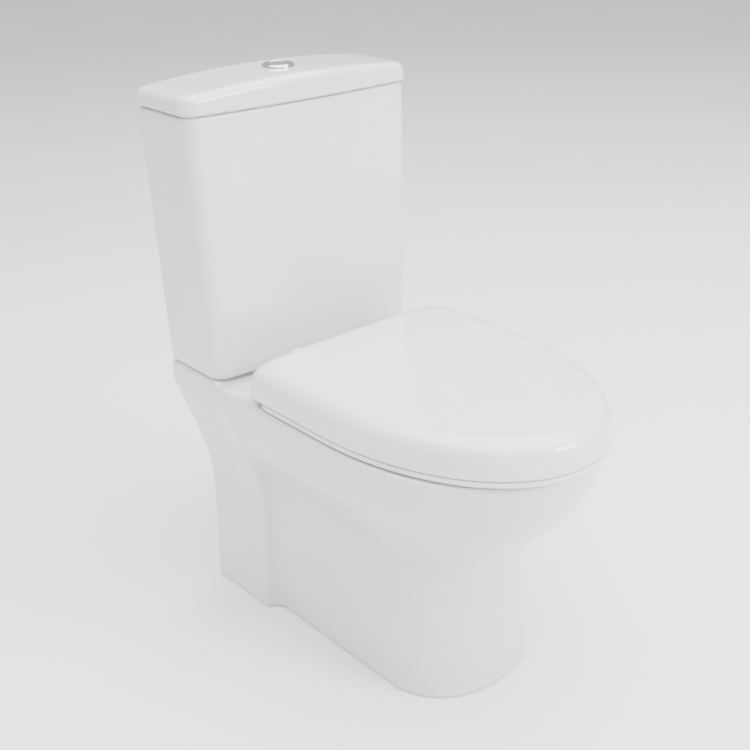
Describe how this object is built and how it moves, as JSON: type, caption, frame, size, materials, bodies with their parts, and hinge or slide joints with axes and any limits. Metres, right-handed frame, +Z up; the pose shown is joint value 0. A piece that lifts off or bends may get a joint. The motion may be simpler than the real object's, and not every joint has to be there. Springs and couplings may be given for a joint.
{
  "type": "close coupled toilet",
  "caption": "Close coupled toilet: skirted china pan with a cistern bolted on its rear platform, lift-off lid, dual flush push button and a hinged seat ring and wrap-over cover.",
  "frame": {"origin": "middle of the footprint, on the floor", "axes": "+Z up, front of the pan faces -Y, the wall is at the +Y end, +X to the right of someone facing the toilet"},
  "size_m": [0.38, 0.645, 0.8108],
  "materials": {
    "vitreous_china": "glazed",
    "seat_plastic": "gloss",
    "white_plastic": "satin",
    "grey_plastic": "satin",
    "blue_plastic": "satin",
    "chrome": "polished",
    "steel": "zinc plated",
    "black_rubber": "matt",
    "buffer_rubber": "matt"
  },
  "bodies": {
    "pan_and_cistern": {"pan": "vitreous_china", "cistern": "vitreous_china", "coupling_seal": "black_rubber", "coupling_bolts": "steel", "coupling_rubber_washers": "black_rubber", "coupling_plate_washers": "steel", "coupling_wing_nuts": "steel", "flush_valve_base": "white_plastic", "flush_valve_gasket": "black_rubber", "flush_valve_backnut": "white_plastic", "flush_valve_cage": "grey_plastic", "rocker_pins": "steel", "fill_valve_shank": "white_plastic", "fill_valve_gasket": "black_rubber", "fill_valve_backnut": "white_plastic", "fill_valve_head": "grey_plastic", "float_arm_pin": "steel", "hinge_bolts": "seat_plastic", "hinge_plates": "seat_plastic", "hinge_posts": "seat_plastic", "hinge_pins": "steel", "hinge_washers": "black_rubber", "hinge_wing_nuts": "seat_plastic"},
    "seat_ring": {"seat_ring": "seat_plastic", "ring_buffers": "buffer_rubber"},
    "seat_cover": {"seat_cover": "seat_plastic", "cover_buffers": "buffer_rubber"},
    "cistern_lid": {"cistern_lid": "vitreous_china", "button_housing": "chrome", "button_gasket": "black_rubber", "button_nut": "white_plastic", "full_button_spring": "steel", "half_button_spring": "steel"},
    "full_button": {"full_flush_button": "chrome", "full_flush_rod": "white_plastic"},
    "half_button": {"half_flush_button": "chrome", "half_flush_rod": "white_plastic"},
    "flush_valve": {"overflow_tube": "white_plastic", "valve_seal": "black_rubber", "seal_clip": "white_plastic", "flush_float": "blue_plastic", "lift_yoke": "grey_plastic"},
    "half_flush_float": {"half_flush_float": "blue_plastic"},
    "full_rocker": {"full_flush_rocker": "grey_plastic"},
    "half_rocker": {"half_flush_rocker": "grey_plastic"},
    "fill_float": {"fill_float": "blue_plastic", "fill_float_rod": "white_plastic"},
    "float_arm": {"float_arm": "grey_plastic"}
  },
  "joints": [
    {"name": "seat_ring_hinge", "type": "hinge", "parent": "pan_and_cistern", "child": "seat_ring", "pos_m": [0, 0.1275, 0.41], "axis": [-1, 0, 0], "range_deg": [0, 92]},
    {"name": "seat_cover_hinge", "type": "hinge", "parent": "seat_ring", "child": "seat_cover", "pos_m": [0, 0.1275, 0.41], "axis": [1, 0, 0], "range_deg": [-92, 0]},
    {"name": "cistern_lid_lift", "type": "slide", "parent": "pan_and_cistern", "child": "cistern_lid", "axis": [0, 0, 1], "range_m": [0, 0.25]},
    {"name": "full_button_press", "type": "slide", "parent": "cistern_lid", "child": "full_button", "axis": [0, 0, -1], "range_m": [0, 0.006], "stiffness_N_per_m": 300, "springref_m": -0.004, "deforming": ["full_button_spring"]},
    {"name": "half_button_press", "type": "slide", "parent": "cistern_lid", "child": "half_button", "axis": [0, 0, -1], "range_m": [0, 0.006], "stiffness_N_per_m": 300, "springref_m": -0.004, "deforming": ["half_button_spring"]},
    {"name": "flush_valve_lift", "type": "slide", "parent": "pan_and_cistern", "child": "flush_valve", "axis": [0, 0, 1], "range_m": [0, 0.0071]},
    {"name": "half_float_lift", "type": "slide", "parent": "pan_and_cistern", "child": "half_flush_float", "axis": [0, 0, 1], "range_m": [0, 0.0071]},
    {"name": "full_rocker_turn", "type": "hinge", "parent": "pan_and_cistern", "child": "full_rocker", "pos_m": [0.028, 0.2595, 0.69], "axis": [0, -1, 0], "range_deg": [0, 20.7]},
    {"name": "half_rocker_turn", "type": "hinge", "parent": "pan_and_cistern", "child": "half_rocker", "pos_m": [-0.028, 0.2595, 0.69], "axis": [0, 1, 0], "range_deg": [0, 20.7]},
    {"name": "fill_float_rise", "type": "slide", "parent": "pan_and_cistern", "child": "fill_float", "axis": [0, 0, 1], "range_m": [0, 0.012]},
    {"name": "float_arm_turn", "type": "hinge", "parent": "pan_and_cistern", "child": "float_arm", "pos_m": [0.112, 0.2595, 0.688], "axis": [0, -1, 0], "range_deg": [0, 19.6]}
  ],
  "couplings": [
    {"joint": "flush_valve_lift", "follows": "full_button_press", "ratio": 1.1667},
    {"joint": "full_rocker_turn", "follows": "full_button_press", "rad_per_m": 60.1},
    {"joint": "half_float_lift", "follows": "half_button_press", "ratio": 1.1667},
    {"joint": "half_rocker_turn", "follows": "half_button_press", "rad_per_m": 60.1},
    {"joint": "float_arm_turn", "follows": "fill_float_rise", "rad_per_m": 28.32}
  ]
}
